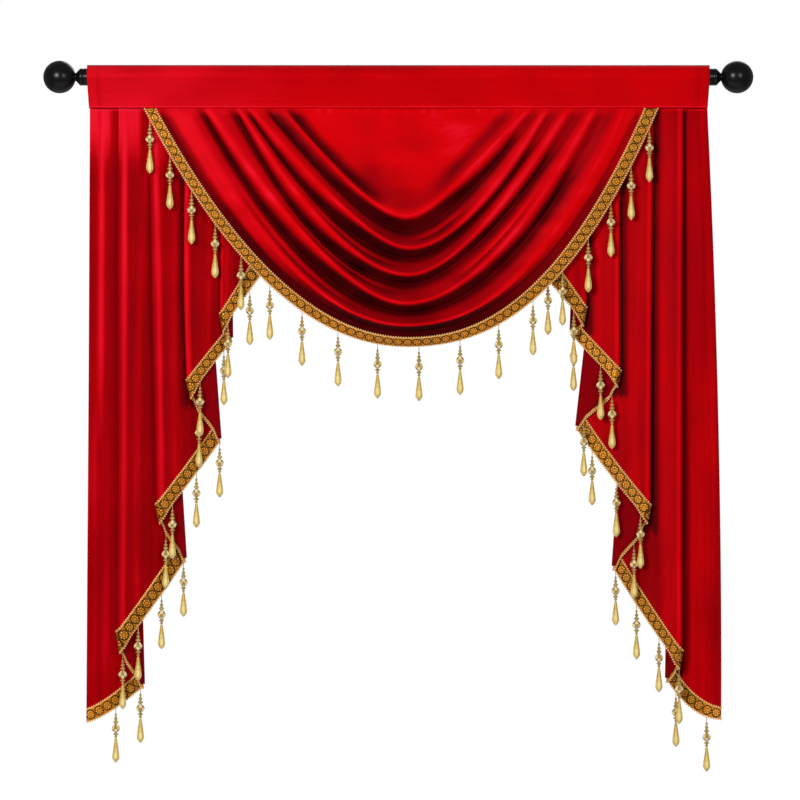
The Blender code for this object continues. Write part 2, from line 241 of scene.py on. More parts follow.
def braidFinish():
    s = Surface("woven gold braid")
    uv = s.node("UVMap", {"uv_map": "cloth"}, {})
    u = s.node("SeparateXYZ", {}, {"Vector": uv}, "X") / mm
    v = s.node("SeparateXYZ", {}, {"Vector": uv}, "Y") / mm
    du = ((u / braidLook["pitch"]).maths("FRACT") - 0.5) * braidLook["pitch"] * braidLook["long"]
    dv = (v - braidLook["width"] / 2) * braidLook["high"]
    out = (du * du + dv * dv).maths("SQRT") / braidLook["radius"]
    petals = (dv.maths("ARCTAN2", du) * braidLook["petals"]).maths("SINE")
    rosette = s.ramp(out * 0.85, [
        (0.0, (0.44, 0.090, 0.006)),
        (0.13, (0.52, 0.140, 0.010)),
        (0.21, (0.82, 0.360, 0.050)),
        (0.30, (0.10, 0.026, 0.003)),
        (0.42, (0.46, 0.150, 0.012)),
        (0.56, (0.90, 0.400, 0.045)),
        (0.66, (0.50, 0.170, 0.012)),
        (0.74, (0.030, 0.008, 0.001)),
        (0.90, (0.036, 0.010, 0.001)),
        (1.0, (0.42, 0.150, 0.014)),
    ])
    ring = 1 - (out - braidLook["ring"]).maths("ABSOLUTE") * 2.6
    petalled = s.mixColour(ring * (petals + 0.25), rosette, (0.05, 0.014, 0.001, 1))
    away = dv.maths("ABSOLUTE")
    ground = s.mixColour((away - braidLook["borderFrom"]) * 1.4, petalled, (0.32, 0.105, 0.009, 1))
    woven = s.mixColour((away - braidLook["edgeFrom"]) * 1.2, ground, (0.90, 0.46, 0.14, 1))
    threads = s.noise(s.scaled(uv, braidLook["threads"]), 1.0, 3.0)
    flecked = s.mixColour((threads - 0.58) * 4.0, woven, (0.92, 0.52, 0.13, 1))
    dark = s.mixColour((0.47 - threads) * 5.0, flecked, (0.045, 0.014, 0.002, 1))
    # painted light: paler where the braid hangs level, set on each vertex
    level = s.node("Attribute", {"attribute_name": "crest"}, {}, "Fac")
    colour = s.mixColour(level, dark, braidLook["levelPaintedLight"], "MULTIPLY")
    bump = s.node("Bump", {}, {"Strength": 0.35, "Distance": 0.0005, "Height": threads})
    return s.close({
        "Base Color": colour, "Roughness": 0.36, "Metallic": 0.3,
        "Specular IOR Level": 0.2, "Specular Tint": (1.0, 0.55, 0.15, 1.0),
    }, bump)


def crystalFinish(name, deep, pale, scale):
    s = Surface(name)
    place = s.objectPlace()
    # facet holds painted reflections on alternate facets and a painted highlight on the long drop's belly
    facet = s.node("Attribute", {"attribute_name": "facet"}, {}, "Fac")
    cloud = s.noise(s.scaled(place, (scale, scale, scale / 3)), 1.0, 1.0)
    tone = s.ramp(facet * 0.7 + cloud * 0.3, [(0.14, deep), (0.86, pale)])
    return s.close({
        "Base Color": tone, "Roughness": 0.06, "IOR": 1.55, "Transmission Weight": 0.15,
        "Coat Weight": 0.6, "Coat Roughness": 0.03,
    })


def rodFinish():
    s = Surface("satin black paint")
    grain = s.noise(s.objectPlace(), 260.0, 3.0)
    colour = s.mixColour(grain, (0.0015, 0.0015, 0.0018, 1), (0.004, 0.004, 0.0045, 1))
    bump = s.node("Bump", {}, {"Strength": 0.03, "Distance": 0.0003, "Height": grain})
    return s.close({
        "Base Color": colour, "Roughness": 0.26 + (grain - 0.5) * 0.1, "Specular IOR Level": 0.22,
    }, bump)


silky = {"Roughness": 0.34, "Metallic": 0.15}
beaded = {"Roughness": 0.28, "Metallic": 0.3}
sewn = {"Roughness": 0.6, "Specular IOR Level": 0.2, "Specular Tint": (1.0, 0.02, 0.04, 1.0)}
matt = {"Roughness": 0.75, "Specular IOR Level": 0.2, "Specular Tint": (1.0, 0.02, 0.03, 1.0)}

velvet, braidGold, rodBlack = velvetFinish(), braidFinish(), rodFinish()
velvetBack = grainFinish("velvet wrong side", (900.0, 2.0), (0.150, 0.0003, 0.0022),
                         (0.270, 0.0006, 0.0044), matt, (0.15, 0.0004))
picotGold = grainFinish("cream gold picots", (700.0, 2.0), (0.72, 0.36, 0.10), (0.96, 0.60, 0.26), silky)
braidBack = grainFinish("braid wrong side", (700.0, 2.0), (0.42, 0.15, 0.016), (0.74, 0.33, 0.06), silky)
beadGold = grainFinish("gold beads and thread", (300.0, 1.0), (0.25, 0.15, 0.022), (0.73, 0.53, 0.17), beaded)
stitchDark = grainFinish("dark red thread", (2500.0, 1.0), (0.26, 0.0008, 0.003), (0.46, 0.002, 0.008), sewn)
# paler thread, a painted highlight along the raised seam at the header's foot
seamHighlightThread = grainFinish("red thread painted light along the seam", (2500.0, 1.0), (0.70, 0.004, 0.014), (0.98, 0.016, 0.040), sewn)
amber = crystalFinish("amber crystal", (0.60, 0.37, 0.045), (1.0, 0.79, 0.31), 90.0)
clear = crystalFinish("pale crystal", (0.42, 0.25, 0.05), (1.0, 0.85, 0.46), 260.0)
print("finishes made")


# Making pieces


def addObject(name, data):
    made = bpy.data.objects.new(name, data)
    bpy.context.scene.collection.objects.link(made)
    return made


def addMesh(name, bm, finishes):
    mesh = bpy.data.meshes.new(name)
    bm.to_mesh(mesh)
    bm.free()
    for finish in finishes:
        mesh.materials.append(finish)
    return addObject(name, mesh)


def addPiece(name, bm, finishes, replaces=(), smoothFaces=True):
    bmesh.ops.scale(bm, vec=(mm, mm, mm), verts=bm.verts)
    for face in bm.faces:
        face.smooth = smoothFaces
    piece = addMesh(name, bm, finishes)
    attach(piece, "root")
    if replaces:
        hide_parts(*replaces)
    return piece


def gridSheet(columns, rows, place):
    # place(i, j) gives a vertex's point, its painted light and its place on the flat cloth. The painted light
    # is the level of painted highlight and shade on velvet, with some random tone mixed in, and how much
    # paler braid is painted where it hangs level
    bm = bmesh.new()
    crest = bm.verts.layers.float.new("crest")
    uvs = bm.loops.layers.uv.new("cloth")
    bmesh.ops.create_grid(bm, x_segments=columns - 1, y_segments=rows - 1, size=0.5)
    flatPlace = {}
    for vert in bm.verts:
        i = round((vert.co.x + 0.5) * (columns - 1))
        j = round((vert.co.y + 0.5) * (rows - 1))
        vert.co, vert[crest], flatPlace[vert] = place(i, j)
    for face in bm.faces:
        for loop in face.loops:
            loop[uvs].uv = flatPlace[loop.vert]
    return bm


def tuckIntoSeam(bm):
    level = -(cloth["seamDrop"] - 0.1)
    top = [e for e in bm.edges if e.is_boundary and all(v.co.z > level for v in e.verts)]
    made = bmesh.ops.extrude_edge_only(bm, edges=top)["geom"]
    verts = [v for v in made if isinstance(v, bmesh.types.BMVert)]
    bmesh.ops.translate(bm, vec=(0, 0, cloth["seamTuck"]), verts=verts)


def thicken(piece, thickness):
    wall = piece.modifiers.new("thickness", "SOLIDIFY")
    wall.thickness = thickness * mm
    wall.offset = 0.0
    wall.use_rim = True
    wall.material_offset = 1  # the wrong side has the second finish


def facesSince(bm, before):
    bm.faces.ensure_lookup_table()
    return bm.faces[before:]


def closeLoops(bm, loops):
    for end in (loops[0], loops[-1]):
        bmesh.ops.contextual_create(bm, geom=end)
    for upper, lower in zip(loops, loops[1:]):
        bmesh.ops.bridge_loops(bm, edges=upper + lower)


def ringAt(bm, centre, radius, sides):
    # turned by half a side, so that an eight-sided bead has a facet in front
    turn = Matrix.Translation(centre) @ Matrix.Rotation(math.pi / sides, 4, "Z")
    verts = bmesh.ops.create_circle(bm, segments=sides, radius=radius, matrix=turn)["verts"]
    return list({edge for vert in verts for edge in vert.link_edges})


# The swag

# where a line meets the seam on either side and its shape there (above 1 it stays low for longer), its
# lowest point, and how far forward it stands on its flanks and at its middle
SwagLine = namedtuple("SwagLine", "left leftShape lowX lowDrop right rightShape side mid")
Crease = namedtuple("Crease", "under share start end depth")  # a short soft fold below a valley
swag = {
    "plane": -3.5,
    "lines": {
        "top edge": SwagLine(-184, 1.00, 13, 51.3, 207, 1.00, 0, 0),
        "ridge 1": SwagLine(-191, 1.26, 13, 229, 214, 1.08, 9, 15),
        "valley 1": SwagLine(-216, 1.36, 16, 254, 229, 1.32, 4, 8),
        "ridge 2": SwagLine(-243, 1.20, 20, 280, 242, 1.66, 13, 21),
        "valley 2": SwagLine(-252, 1.62, 18, 298, 259, 1.56, 4, 9),
        "ridge 3": SwagLine(-261, 1.60, 16, 324, 277, 1.50, 14, 23),
        "valley 3": SwagLine(-270, 2.06, 16, 339, 300, 1.48, 4, 10),
        "ridge 4": SwagLine(-313, 1.42, 13, 371, 320, 1.76, 16, 26),
        "valley 4": SwagLine(-325, 1.84, 15, 387, 340, 1.94, 5, 12),
        "ridge 5": SwagLine(-352, 1.98, 13, 407, 375, 2.30, 18, 29),
        "valley 5": SwagLine(-389, 1.96, 16, 418, 398, 2.14, 9, 19),
        "trim top": SwagLine(-399, 2.08, 18, 427, 405, 2.38, 11, 21),
        "hem": SwagLine(-416, 2.14, 16, 440, 425, 2.48, 12, 5),
    },
    "creases": [
        Crease("valley 1", 0.45, 0.0, 0.45, 1.3),
        Crease("valley 2", 0.45, -0.60, -0.04, 2.2),
        Crease("valley 3", 0.38, -0.66, -0.03, 2.6),
        Crease("valley 3", 0.60, 0.25, 0.75, 1.6),
        Crease("valley 4", 0.42, -0.80, -0.20, 2.4),
    ],
    "creaseWidth": 0.30,
    "round": 0.2,  # share of the half width over which a line's lowest part is rounded
    "middle": 0.55,  # share of it over which the folds stand further forward
    "swell": 0.35,  # how soon a fold stands forward from its ends, below 1 sooner
    "panelRise": 1.5,  # how late the cloth comes forward on its way down, above 1 later
    "ridgeRise": 1.2,
    "valleyRise": 1.8,  # above 1 sooner
    "columns": 150,
    "dropColumns": 40,  # by which the drops are spaced
    "panelRows": 26,
    "foldRows": 8,
    "trimEnd": 0.9985,  # where the braid ends, short of the seam
    "ripple": 0.9,
    "free": 2.5,  # how soon the cloth ripples away from its ends
    "along": 0.6,  # half the flat cloth's width, in metres
    "rowHeight": 0.0045,  # and a row's height on it
    "flat": (1.27, 0.47),
    "area": 0.26,
}
# what differs between the flanks in painted light and shade: the last ridge's painted shade at its foot, also
# where it is painted lit again, how far the belly's painted light reaches, the crown's painted highlight, and
# the cloth at the trim, also where it is painted lit again
FlankLook = namedtuple("FlankLook", "low lowLit bellyOver crown trim trimLit")
# levels of painted highlight and shade on a fold, from 0 to 1. Two numbers are for the middle and the flanks
# where nothing is noted, and three are an amount, where it starts and over how far it comes in
swagLook = {
    "left": FlankLook(0.12, 0.34, 0.40, 0.18, 0.08, 0.26),
    "right": FlankLook(0.40, 0.40, 0.60, 0.24, 0.32, 0.32),
    "flank": (1, 0.22, 0.5),
    "litAgain": (1, 0.64, 0.2),  # painted light again up the left side, beside the braid
    "deep": 0.03,
    "deepRight": (0.10, -0.15, 0.3),
    "panel": 0.74,
    "panelRight": (0.07, -0.1, 0.4),
    "panelDip": (0.10, -0.3, 0.2),  # amount, centre and width
    "panelLow": (0.22, 0.5, 0.4),
    "panelFlank": 0.78,
    "panelEdge": (0.36, 0.93, 0.07),
    "shadeLeft": (0.66, 0.10, 0.38),  # painted shade above the first ridge
    "shadeStart": (0, 6),  # start and over, in mm above the ridge
    "shadeEnd": (8, 28),
    "shadeRight": (0.36, 0.14, 0.28),
    "shadeAt": (27, 24),  # centre and width
    "ridge": 0.87,
    "ridgeLeft": (0.05, 0.0, 0.5),
    "ridgeFrom": 0.12,
    "ridgeOver": (0.34, 0.80),
    "firstLeft": (0.27, 0.25, 0.3),  # what is left there is a thin line of painted highlight
    "firstFall": (0.0, 0.25),  # start and over
    "lastRidge": 0.90,
    "lastDeep": (0.85, 0.0, 0.34),
    "lastFlank": 0.78,
    "lastFall": (0.5, 0.5),  # start and over
    "belly": (0.32, 0.60),
    "bellyOver": 0.55,
    "crown": 0.54,
    "crownFrom": (0.86, 0.50),
    "crownOver": (0.14, 0.5),
    "trim": 0.02,
    "cloud": 0.10,
    "rightEnd": (0.46, 0.74, 0.14),
    # painted light just below the seam, in small gathers
    "seam": 0.80,
    "seamGathers": 0.12,
    "seamShare": 0.75,
    "seamOver": 18,
    "crease": 0.30,
    "creaseLight": 0.16,
    "creaseShade": 0.2,
}


def sag(t, shape):
    def power(value):
        return (value * value + swag["round"] ** 2) ** (shape / 2)
    return (power(t) - power(0)) / (power(1) - power(0))


def swagPoint(line, t):
    end, shape = (line.left, line.leftShape) if t < 0 else (line.right, line.rightShape)
    swell = max(0.0, 1 - t * t) ** swag["swell"]
    middle = max(0.0, 1 - (t / swag["middle"]) ** 2) ** 2
    forward = blend(line.side, line.mid, middle) * swell
    drop = blend(line.lowDrop, cloth["seamDrop"], sag(abs(t), shape))
    return np.array((blend(line.lowX, end, abs(t)), swag["plane"] - forward, -drop))


def foldRise(upper, lower, down):
    # share of the way forward to the lower line
    if upper == "top edge":
        return down ** swag["panelRise"]
    if upper.startswith("ridge"):
        return down ** swag["ridgeRise"]
    return 1 - (1 - down) ** swag["valleyRise"] if lower.startswith("ridge") else down


def foldPaintedLight(upper, lower, down, t):
    # painted highlight and shade on a fold: a thin painted highlight at the middle of the swag, a broad band
    # on its flanks
    look, side = swagLook, swagLook["left" if t < 0 else "right"]
    flank = grown(abs(t), *look["flank"])
    deep = look["deep"] + grown(t, *look["deepRight"]) * (1 - flank)
    if upper == "top edge":
        dip, dipAt, dipWidth = look["panelDip"]
        high = look["panel"] + grown(t, *look["panelRight"]) - dip * hump(t, dipAt, dipWidth)
        low = high - grown(down, *look["panelLow"])
        return blend(low, look["panelFlank"], flank) + grown(down, *look["panelEdge"])
    lit = grown(-t, *look["litAgain"])
    if upper == "ridge 5":
        middle = look["lastRidge"] - grown(down, *look["lastDeep"])
        fall = look["lastFlank"] - blend(side.low, side.lowLit, lit)
        return blend(middle, look["lastFlank"] - grown(down, fall, *look["lastFall"]), flank)
    if upper.startswith("ridge"):
        high = look["ridge"] - grown(-t, *look["ridgeLeft"])
        if upper == "ridge 1":
            high -= grown(-t, *look["firstLeft"]) * rising(down, *look["firstFall"])
        return high - grown(down, high - deep, look["ridgeFrom"] * flank, blend(*look["ridgeOver"], flank))
    if lower.startswith("ridge"):
        belly = blend(*look["belly"], flank)
        crown = blend(look["crown"], side.crown, flank)
        belly = grown(down, belly, 0.0, blend(look["bellyOver"], side.bellyOver, flank))
        crown = grown(down, crown, blend(*look["crownFrom"], flank), blend(*look["crownOver"], flank))
        return deep + belly + crown
    return blend(look["trim"], blend(side.trim, side.trimLit, lit), flank)


def panelShade(above, t):
    # painted shade above the first ridge, close beside it on the left
    look = swagLook
    beside = rising(above, *look["shadeStart"]) * falling(above, *look["shadeEnd"])
    right = grown(t, *look["shadeRight"]) * hump(above, *look["shadeAt"])
    return grown(-t, *look["shadeLeft"]) * beside + right


def swagRows():
    names = list(swag["lines"])
    rows = []
    for upper, lower in zip(names, names[1:]):
        steps = swag["panelRows"] if upper == "top edge" else swag["foldRows"]
        rows += [(upper, lower, k / steps) for k in range(steps)]
    return rows + [(names[-2], names[-1], 1.0)]


def swagColumns(count):
    inner = []
    for k in range(count + 1):
        u = 1 - 2 * k / count
        inner.append(0.5 * u + 0.5 * math.sin(math.pi * u / 2))
    return [1.0, swag["trimEnd"]] + inner[1:-1] + [-swag["trimEnd"], -1.0]


def makeSwag():
    rows, columns, look = swagRows(), swagColumns(swag["columns"]), swagLook

    def place(i, j):
        upper, lower, down = rows[j]
        t = columns[i]
        forward, crest = foldRise(upper, lower, down), foldPaintedLight(upper, lower, down, t)
        a, b = swagPoint(swag["lines"][upper], t), swagPoint(swag["lines"][lower], t)
        point = blend(a, b, np.array((down, forward, down)))
        free = min(1.0, swag["free"] * (1 - t * t)) * (upper not in ("valley 5", "trim top", "hem"))
        point[1] -= free * swag["ripple"] * softNoise(point[0] / 55, point[2] / 22, 3.0)
        crest += free * look["cloud"] * softNoise(point[0] / 70, point[2] / 30, 8.0)
        if upper == "top edge":
            crest -= panelShade((1 - down) * (a[2] - b[2]), t)
        crest = max(crest, grown(t, *look["rightEnd"]))
        # painted light just below the seam, in small gathers
        seamPaintedLight = look["seam"] + look["seamGathers"] * softNoise(point[0] / 9, 0.0, 4.0)
        atSeam = falling(-point[2], cloth["seamDrop"], look["seamOver"])
        crest = blend(crest, seamPaintedLight, look["seamShare"] * atSeam)
        for crease in swag["creases"]:
            if upper == crease.under and crease.start < t < crease.end:
                fade = math.sin(math.pi * (t - crease.start) / (crease.end - crease.start))
                push = fade * hump(down, crease.share, swag["creaseWidth"])
                point[1] -= crease.depth * push
                # painted highlight along the crease and painted shade just below it
                light = hump(down, crease.share, look["creaseLight"])
                light -= hump(down, crease.share + look["creaseShade"], look["creaseShade"])
                crest += look["crease"] * fade * light
        return point, crest, (t * swag["along"], j * swag["rowHeight"])

    bm = gridSheet(len(columns), len(rows), place)
    tuckIntoSeam(bm)
    piece = addPiece("swag_velvet", bm, [velvet, velvetBack], ["swag"])
    thicken(piece, cloth["thickness"])
    return piece


# The tails

# where a fold meets the seam and the hem, how far it drops, how far behind the front it hangs, and the
# braid's height there. Above 1 a curve makes the hem fall first and then run level on its way to the fold
TailFold = namedtuple("TailFold", "xSeam xHem drop back trim curve", defaults=(1.0,))
leftTail = {
    "inner edge": TailFold(-207, -207, 298, 0.2, 46),
    "front 1": TailFold(-289, -292, 417, 0.0, 33),
    "rear 1": TailFold(-276, -272, 433, 0.75, 26),
    "front 2": TailFold(-345, -345, 526, -0.1, 33),
    "rear 2": TailFold(-331, -291, 599, 1.0, 34),
    "front 3": TailFold(-409, -396, 731, 0.0, 35),
    "rear 3": TailFold(-395, -348, 795, 1.0, 39),
    "front 4": TailFold(-458, -461, 943, 0.0, 39),
    "rear 4": TailFold(-444, -417, 1002, 1.0, 28),
    "outer edge": TailFold(-506, -512, 1058, 0.6, 21, 1.35),
}
rightTail = {
    "inner edge": TailFold(216, 216, 298, 0.2, 52),
    "front 1": TailFold(308, 308, 407, 0.0, 33),
    "rear 1": TailFold(295, 282, 422, 0.8, 26),
    "front 2": TailFold(363, 364, 507, -0.1, 29),
    "rear 2": TailFold(350, 291, 578, 1.0, 31),
    "front 3": TailFold(418, 413, 731, 0.0, 33),
    "rear 3": TailFold(405, 351, 808, 1.0, 33),
    "front 4": TailFold(467, 465, 969, 0.0, 33),
    "rear 4": TailFold(454, 439, 992, 1.0, 33),
    "outer edge": TailFold(507, 530, 1053, 0.6, 18, 2.1),
}
tails = {
    "plane": -1.2,
    "length": 1058.0,
    "depthSeam": 4.7,  # from the front of the pleats to their rear
    "depthHem": 34.0,
    "radiusSeam": 1.18,  # of a fold
    "radiusHem": 5.4,
    "growth": 0.6,  # how soon the pleats open on their way down, below 1 sooner
    "sway": 12.0,  # how far forward the foot hangs
    "swayFrom": 440.0,
    "leftBow": 6.0,  # of the fold beside the inner one
    "rightBow": 7.0,  # of the outer edge
    "arcs": 8,
    "frontColumns": 26,
    "spread": 1.35,  # crowds the columns towards a panel's front fold
    "backColumns": 5,
    "dropColumns": (2, 7, 5),  # arcs and columns by which the drops are spaced
    "rows": 90,
    "rowSpread": 1.4,  # crowds the rows towards the seam
    "wave": 2.2,  # of the cloth between two folds
    "columnWidth": 0.004,  # on the flat cloth, in metres
    "hemAt": 16.0,  # the turned side hem, from the outer edge
    "hemSlope": 1.15,  # of the hem where it turns round a front fold
    "hemBehind": -0.5,  # the share of it behind the fold, the other way
    "pinch": 6.0,  # how far the fold draws in at the hem
    "pinchTrim": 0.86,  # the share of the braid's height that shows there
    "flat": (0.56, 1.02),
    "area": 0.39,
}
# painted highlight and shade, by the tail's side: -1 is the left one. "peak" is the painted highlight along a
# front fold, "edge" the one on the outermost panel, "belly" a softer one further in, and "shade" the painted
# shade beside the next panel
tailLook = {
    -1: {
        "body": 0.45, "dip": 0.0, "inward": 0.0, "low": 0.09, "high": 1.0, "belly": 0.14, "shade": 0.0,
        "peak": 0.38, "peakAt": 9.5, "peakWidth": 8.5, "fade": 0.3,
        "edgePeak": 0.36, "edgeAt": 19.0, "edgeDrop": 420.0,
    },
    1: {
        "body": 0.57, "dip": 0.12, "inward": 0.16, "low": 0.04, "high": 0.0, "belly": 0.06, "shade": 0.50,
        "peak": 0.28, "peakAt": 5.6, "peakWidth": 5.4, "fade": 0.0,
        "edgePeak": 0.12, "edgeAt": 8.0, "edgeDrop": 600.0,
    },
}
pleatLook = {  # painted highlight and shade, the same on both tails, in mm as (start, over) where two are given
    "back": 0.08,  # painted shade over the whole of a panel that runs back behind a fold
    "least": 0.07,
    "dip": (0, 26),
    "low": (300, 400),
    "edgeOver": 220,
    "edgeWidth": 9.5,
    "inwardDrop": (540, 200),
    "inward": (20, 28),
    "fade": (0, 800),
    "innerPeak": 0.45,
    "bowedPeakAt": 4.0,  # on the left tail's bowed fold
    "bowedShade": 0.24,
    "belly": (47, 31),  # how far inside it lies, at the top and further down
    "bellyDrop": (0, 600),
    "bellyWidth": 12,
    "innerEdge": 0.22,
    "innerEdgeOver": 0.45,
    "high": (75, 95),
    "highTone": 0.86,
    "highDip": 0.32,
    "highInside": (28, 12),
    "shadePast": 15,
    "outerShade": (0.0, 10.4),
    "shade": (5.0, 13.0),
    "streak": 0.09,
    "cloud": 0.08,
    # painted light just below the seam
    "seam": 0.8,
    "seamOver": 6,
}
# a place across a tail: between two folds' stations, with the neighbouring panel's fold and its own
# panel's front one
Column = namedtuple("Column", "first second share kind neighbour tip")


def pleatGrowth(drop):
    share = (drop - cloth["seamDrop"]) / (tails["length"] - cloth["seamDrop"])
    return max(0.0, share) ** tails["growth"]


def foldArc(fold, front, arcs):
    # (fold, depth at the seam, outwards, backwards), the last two in fold radii
    stations = []
    for k in range(arcs + 1):
        turn = math.pi * (k / arcs - 0.5)
        if front:
            stations.append((fold, 0.0, math.cos(turn) - 1, 1 + math.sin(turn)))
        else:
            stations.append((fold, 1.0, 1 - math.cos(turn), math.sin(turn) - 1))
    return stations


def foldX(fold, drop):
    down = (drop - cloth["seamDrop"]) / (fold.drop - cloth["seamDrop"])
    bow = 0.0
    if fold is leftTail["front 2"]:
        bow = -tails["leftBow"]
    if fold is rightTail["outer edge"]:
        bow = tails["rightBow"]
    return blend(fold.xSeam, fold.xHem, down) + bow * 4 * down * (1 - down)


def panelPaintedLight(column, x, drop, hand):
    look, both = tailLook[hand], pleatLook
    if column.kind == "back":
        return both["back"]
    inside = hand * (foldX(column.tip, drop) - x)  # from the panel's front fold
    crest = look["body"] - look["dip"] * falling(inside, *both["dip"])
    if column.kind == "outer":
        crest += look["low"] * rising(drop, *both["low"])
        fade = falling(drop, look["edgeDrop"], both["edgeOver"])
        crest += fade * look["edgePeak"] * hump(inside, look["edgeAt"], both["edgeWidth"])
    else:
        crest -= look["inward"] * rising(drop, *both["inwardDrop"]) * rising(inside, *both["inward"])
        fade = 1 - look["fade"] * rising(drop, *both["fade"])
        peak = look["peak"] * (both["innerPeak"] if column.kind == "inner" else fade)
        at = both["bowedPeakAt"] if column.tip is leftTail["front 2"] else look["peakAt"]
        crest += peak * hump(inside, at, look["peakWidth"])
        bellyAt = blend(*both["belly"], rising(drop, *both["bellyDrop"]))
        crest += look["belly"] * hump(inside, bellyAt, both["bellyWidth"])
    if column.kind == "inner":
        crest += both["innerEdge"] * hump(column.share, 0.0, both["innerEdgeOver"])
    lit = both["highTone"] - both["highDip"] * rising(inside, *both["highInside"])
    crest = blend(crest, lit, look["high"] * falling(drop, *both["high"]))
    if column.neighbour and drop < column.neighbour.drop + both["shadePast"]:
        outside = hand * (x - foldX(column.neighbour, drop))
        shade = both["bowedShade"] if column.neighbour is leftTail["front 2"] else look["shade"]
        crest -= shade * falling(outside, *both["outerShade" if column.kind == "outer" else "shade"])
    return max(crest, both["least"])


def tailColumns(folds, arcs, frontColumns, backColumns):
    # from the inner edge to the outer edge
    names, groups = list(folds), []
    for name, fold in folds.items():
        if name.endswith("edge"):
            groups.append([(fold, fold.back, 0, 0)])
        else:
            groups.append(foldArc(fold, name.startswith("front"), arcs))
    columns = [Column(groups[0][0], groups[0][0], 0.0, "inner", None, folds["front 1"])]
    for k, (group, following) in enumerate(zip(groups, groups[1:])):
        kind = "back" if k % 2 else {0: "inner", len(names) - 2: "outer"}.get(k, "front")
        beside = (kind, folds[names[k - 1]] if k > 1 else None, folds[names[k + 1]])
        between = backColumns if kind == "back" else frontColumns
        for n in range(1, between + 1):
            share = n / (between + 1)
            if kind != "back":
                share = 1 - (1 - share) ** tails["spread"]
            columns.append(Column(group[-1], following[0], share, *beside))
        for n, station in enumerate(following):
            turned = n > len(following) / 2
            columns.append(Column(station, station, 0.0, "back" if turned else kind, *beside[1:]))
    return columns


def stationPoint(station, drop, hand):
    fold, atSeam, outwards, backwards = station
    down = (drop - cloth["seamDrop"]) / (fold.drop - cloth["seamDrop"])
    grown = pleatGrowth(drop)
    radius = blend(tails["radiusSeam"], tails["radiusHem"], grown)
    depth = blend(tails["depthSeam"], tails["depthHem"], grown)
    reach = blend(atSeam, fold.back, down)
    sway = tails["sway"] * rising(drop, tails["swayFrom"], tails["length"] - tails["swayFrom"])
    x = foldX(fold, drop) + hand * outwards * radius
    if atSeam == 0.0:
        x -= hand * tails["pinch"] * smooth((drop - fold.drop + fold.trim) / fold.trim)
    return np.array((x, tails["plane"] + depth * reach + backwards * radius - sway, -drop))


def tailPoint(column, drop, hand):
    first, second, share = column[:3]
    point = blend(stationPoint(first, drop, hand), stationPoint(second, drop, hand), share)
    loose = 4 * share * (1 - share) * pleatGrowth(drop)
    point[1] -= loose * tails["wave"] * softNoise(point[0] / 24, drop / 380, 5.0 + hand)
    return point


def stationValue(station, field):
    fold, atSeam, outwards, backwards = station
    value = getattr(fold, field)
    if atSeam > 0.0:
        return value
    if field == "trim":
        return value * tails["pinchTrim"]
    turn = tails["hemSlope"] * tails["radiusHem"] * outwards
    return value + turn * (1 if backwards < 1 else tails["hemBehind"])


def columnValue(column, field):
    first, second, share = column[:3]
    if first[1] == 0.0 and second[1] == 1.0:  # behind a front fold the hem falls in a soft S
        share = 0.5 - math.sin(math.asin(1 - 2 * share) / 3)
    elif field == "drop":
        share = 1 - (1 - share) ** second[0].curve
    return blend(stationValue(first, field), stationValue(second, field), share)


def fineColumns(folds, hand):
    return tailColumns(folds, tails["arcs"], tails["frontColumns"], tails["backColumns"])[::-hand]


def makeTail(name, folds, hand):
    columns = fineColumns(folds, hand)
    rows = tails["rows"]

    def place(i, j):
        hem = columnValue(columns[i], "drop")
        down = (j / rows) ** tails["rowSpread"]
        drop = blend(cloth["seamDrop"], hem - braid["past"], down)
        point = tailPoint(columns[i], drop, hand)
        crest = panelPaintedLight(columns[i], point[0], drop, hand)
        streaks = pleatLook["streak"] * softNoise(point[0] / 9, drop / 520, 11.0)
        crest += streaks + pleatLook["cloud"] * softNoise(point[0] / 40, drop / 120, 17.0)
        # painted light just below the seam
        crest = blend(crest, 1.0, pleatLook["seam"] * falling(drop, cloth["seamDrop"], pleatLook["seamOver"]))
        return point, crest, (drop * mm, i * tails["columnWidth"])

    bm = gridSheet(len(columns), rows + 1, place)
    tuckIntoSeam(bm)
    piece = addPiece(name + "_velvet", bm, [velvet, velvetBack], [name])
    thicken(piece, cloth["thickness"])
    return piece


# Braid and drops

braid = {
    "thickness": 1.2,
    "gap": 0.1,
    "step": 1.25,  # between the braid's cross rows
    "across": 14,
    "past": 6.0,  # how far the braid hangs past the cloth's edge
    "level": (0.74, 0.24),  # how near to level it has to hang to be painted paler
    "widths": (21.0, 26.0),  # a rosette is fitted to the braid's width between these
    "relief": 1.1,
    "rimHeight": 0.35,  # heights are shares of the relief, and the rest shares of a rosette's radius
    "ring": (0.62, 0.42),
    "ringHeight": 0.55,
    "petalHeight": 0.12,
    "eye": 0.30,
    "eyeHeight": 0.75,
    "beadPitch": 4.2,
    "beadRadius": 1.75,
    "beadOut": 0.7,  # how far the picots stand past the edge
    "beadUp": 0.1,
}


def unit(rows):
    return rows / np.linalg.norm(rows, axis=1, keepdims=True)


def cumulative(points):
    steps = np.linalg.norm(np.diff(points, axis=0), axis=1)
    return np.concatenate(((0.0,), np.cumsum(steps)))


def pointAt(spot, run, points):
    return [np.interp(spot, run, points[:, n]) for n in range(3)]


def resample(upper, lower, step):
    # both edges of a strip at even steps along its middle
    run = cumulative((upper + lower) / 2)
    count = max(2, round(run[-1] / step))
    at = np.linspace(0, run[-1], count + 1)

    return np.stack(pointAt(at, run, upper), axis=1), np.stack(pointAt(at, run, lower), axis=1), at


def stripNormals(upper, lower):
    steps = unit(np.diff((upper + lower) / 2, axis=0))
    alongHem = np.vstack((steps[:1], steps[:-1] + steps[1:], steps[-1:]))
    return unit(np.cross(alongHem, lower - upper))


